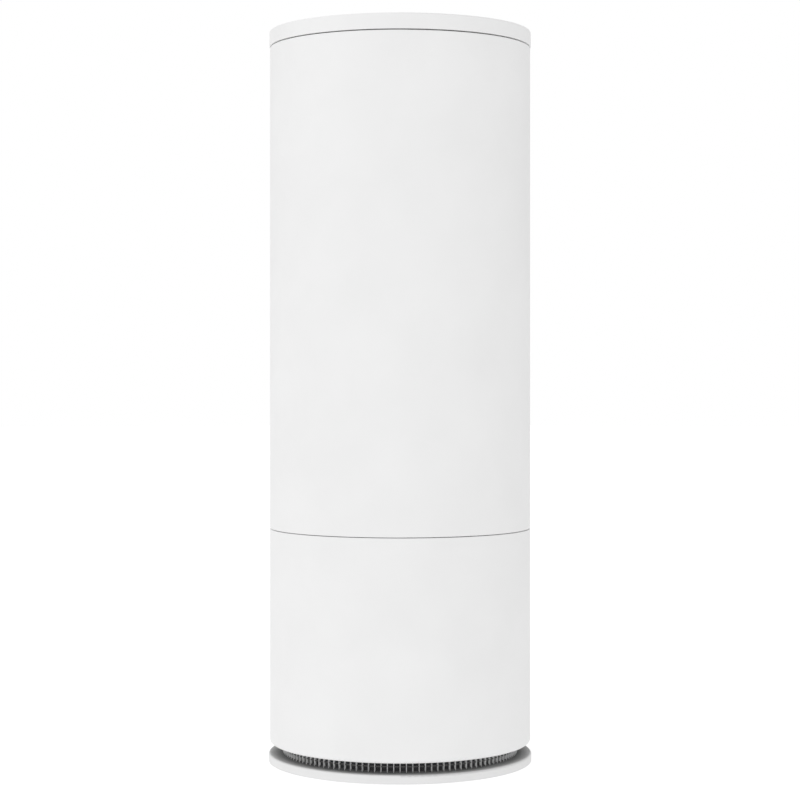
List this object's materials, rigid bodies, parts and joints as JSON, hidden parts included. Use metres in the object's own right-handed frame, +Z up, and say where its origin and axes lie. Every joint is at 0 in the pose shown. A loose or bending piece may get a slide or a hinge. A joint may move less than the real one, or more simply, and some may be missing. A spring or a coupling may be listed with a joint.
{
  "type": "air purifier",
  "caption": "Free-standing cylindrical air purifier: ribbed intake ring at the floor, lift-out drum filter, fan tower and a ring grille with buttons on top.",
  "frame": {"origin": "on the floor under the centre of the base plate", "axes": "+Z up along the tower, mains inlet on the +Y side, front at -Y"},
  "size_m": [0.212, 0.212, 0.5875],
  "materials": {
    "shell_white": "fine matt moulded",
    "grille_white": "satin moulded",
    "inner_grey": "matt moulded",
    "dark_plastic": "matt moulded",
    "panel_gloss": "gloss",
    "light_diffuser": "frosted diffuser",
    "rubber": "matt",
    "foam": "open-cell foam",
    "hepa_paper": "pleated non-woven",
    "carbon": "granular carbon in net",
    "filter_cap": "moulded polyurethane",
    "net": "woven nylon net",
    "ribbon": "woven ribbon",
    "steel": "zinc plated",
    "magnet": "bonded ferrite",
    "copper": "enamelled wire",
    "brass": "plated",
    "circuit_board": "solder mask",
    "components": "moulded and lacquered",
    "cable": "insulation"
  },
  "bodies": {
    "base_section": {"base_plate": "shell_white", "rubber_feet": "rubber", "base_screws": "steel", "intake_grille": "grille_white", "intake_net": "net", "lower_shell": "shell_white", "filter_cradle": "dark_plastic", "interlock_magnet": "magnet"},
    "filter": {"filter_bottom_cap": "filter_cap", "filter_top_cap": "filter_cap", "hepa_media": "hepa_paper", "carbon_layer": "carbon", "filter_core_cage": "inner_grey", "filter_gasket": "foam", "pull_tabs": "ribbon", "prefilter_mesh": "net"},
    "tower": {"fan_deck": "inner_grey", "fan_seal": "foam", "isolation_grommets": "rubber", "fan_housing": "inner_grey", "guide_vanes": "inner_grey", "motor_cover": "inner_grey", "motor_screws": "steel", "stator_core": "steel", "stator_windings": "copper", "motor_board": "circuit_board", "bearing_tube": "brass", "bearings": "steel", "flow_duct": "inner_grey", "acoustic_foam": "foam", "housing_screws": "steel", "upper_shell": "shell_white", "mains_inlet": "dark_plastic", "inlet_pins": "brass", "psu_board": "circuit_board", "psu_parts": "components", "air_sensor": "steel", "reed_sensor": "components", "mains_leads": "cable", "motor_cable": "cable", "panel_cable": "cable", "top_frame": "dark_plastic", "lid_ring": "shell_white", "lid_screws": "steel", "outlet_grille": "grille_white", "panel_housing": "dark_plastic", "control_panel": "panel_gloss", "light_ring": "light_diffuser", "control_board": "circuit_board", "tact_switches": "components", "panel_screws": "steel"},
    "fan": {"impeller": "grille_white", "rotor_cup": "steel", "rotor_magnets": "magnet", "motor_shaft": "steel"},
    "power_button": {"power_button": "shell_white"},
    "speed_button": {"speed_button": "shell_white"},
    "mode_button": {"mode_button": "shell_white"},
    "timer_button": {"timer_button": "shell_white"}
  },
  "joints": [
    {"name": "tower_lift", "type": "slide", "parent": "base_section", "child": "tower", "axis": [0, 0, 1], "range_m": [0, 0.34]},
    {"name": "filter_lift", "type": "slide", "parent": "base_section", "child": "filter", "axis": [0, 0, 1], "range_m": [0, 0.17]},
    {"name": "fan_spin", "type": "hinge", "parent": "tower", "child": "fan", "pos_m": [0, 0, 0.24], "axis": [0, 0, 1], "continuous": true},
    {"name": "power_press", "type": "slide", "parent": "tower", "child": "power_button", "axis": [0, 0, -1], "range_m": [0, 0.0008], "stiffness_N_per_m": 800, "springref_m": -0.0004},
    {"name": "speed_press", "type": "slide", "parent": "tower", "child": "speed_button", "axis": [0, 0, -1], "range_m": [0, 0.0008], "stiffness_N_per_m": 800, "springref_m": -0.0004},
    {"name": "mode_press", "type": "slide", "parent": "tower", "child": "mode_button", "axis": [0, 0, -1], "range_m": [0, 0.0008], "stiffness_N_per_m": 800, "springref_m": -0.0004},
    {"name": "timer_press", "type": "slide", "parent": "tower", "child": "timer_button", "axis": [0, 0, -1], "range_m": [0, 0.0008], "stiffness_N_per_m": 800, "springref_m": -0.0004}
  ],
  "couplings": [
    {"joint": "filter_lift", "follows": "tower_lift", "ratio": 0.5}
  ]
}
